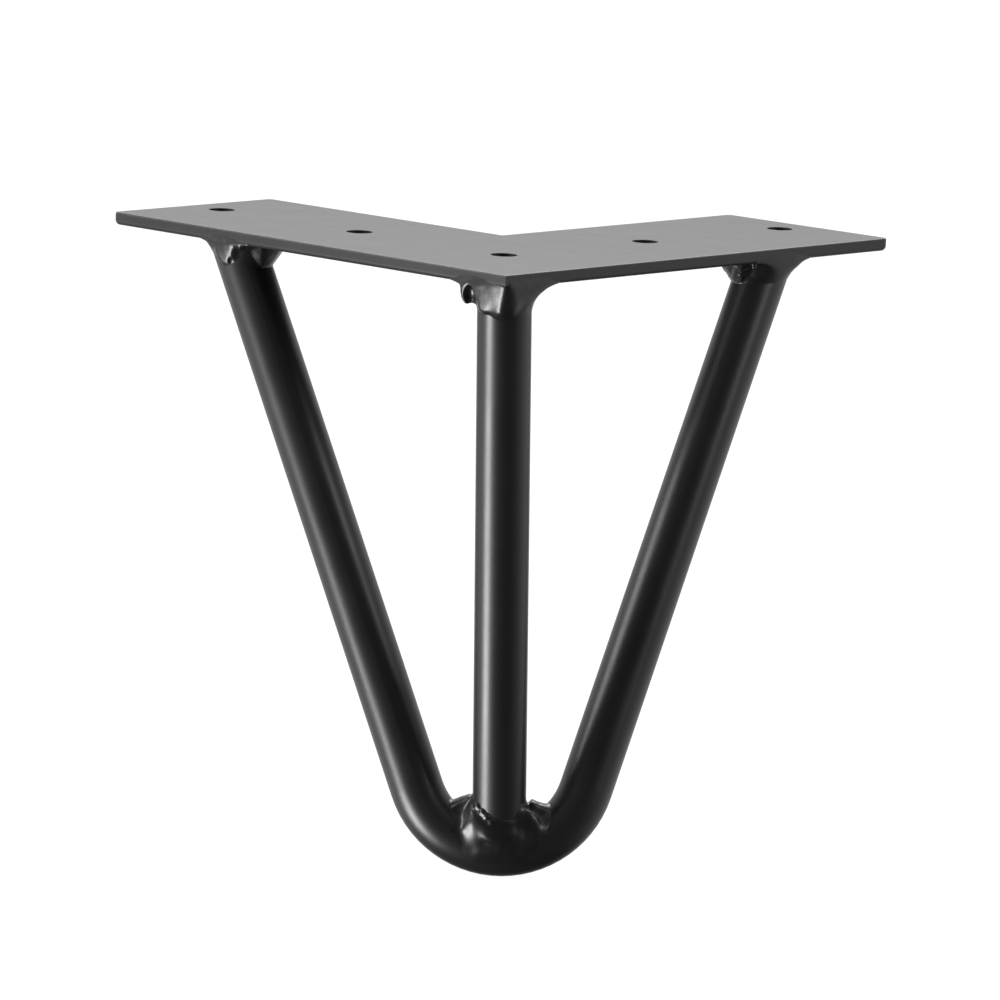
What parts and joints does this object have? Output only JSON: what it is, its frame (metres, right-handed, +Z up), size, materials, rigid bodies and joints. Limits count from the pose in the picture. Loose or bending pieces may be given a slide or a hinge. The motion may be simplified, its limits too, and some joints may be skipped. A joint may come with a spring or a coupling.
{
  "type": "hairpin table leg",
  "caption": "Welded hairpin table leg: L-shaped screw-on mounting plate, a round bar bent into a hairpin that forms the foot, and a straight corner bar welded between them.",
  "frame": {"origin": "axis of the corner screw hole, on the plate's top face that lies against the table top", "axes": "+Z up from the foot to the table top, +Y from the plate's outer corner towards the inside of the L, +X across, with the plate's two arms mirrored about X = 0"},
  "size_m": [0.1784, 0.1252, 0.139],
  "materials": {
    "black_powder_coat": "satin black powder coat over steel"
  },
  "bodies": {
    "root": {"mounting_plate": "black_powder_coat", "hairpin_rod": "black_powder_coat", "corner_rod": "black_powder_coat", "left_weld": "black_powder_coat", "right_weld": "black_powder_coat", "corner_weld": "black_powder_coat", "foot_weld": "black_powder_coat"}
  },
  "joints": []
}
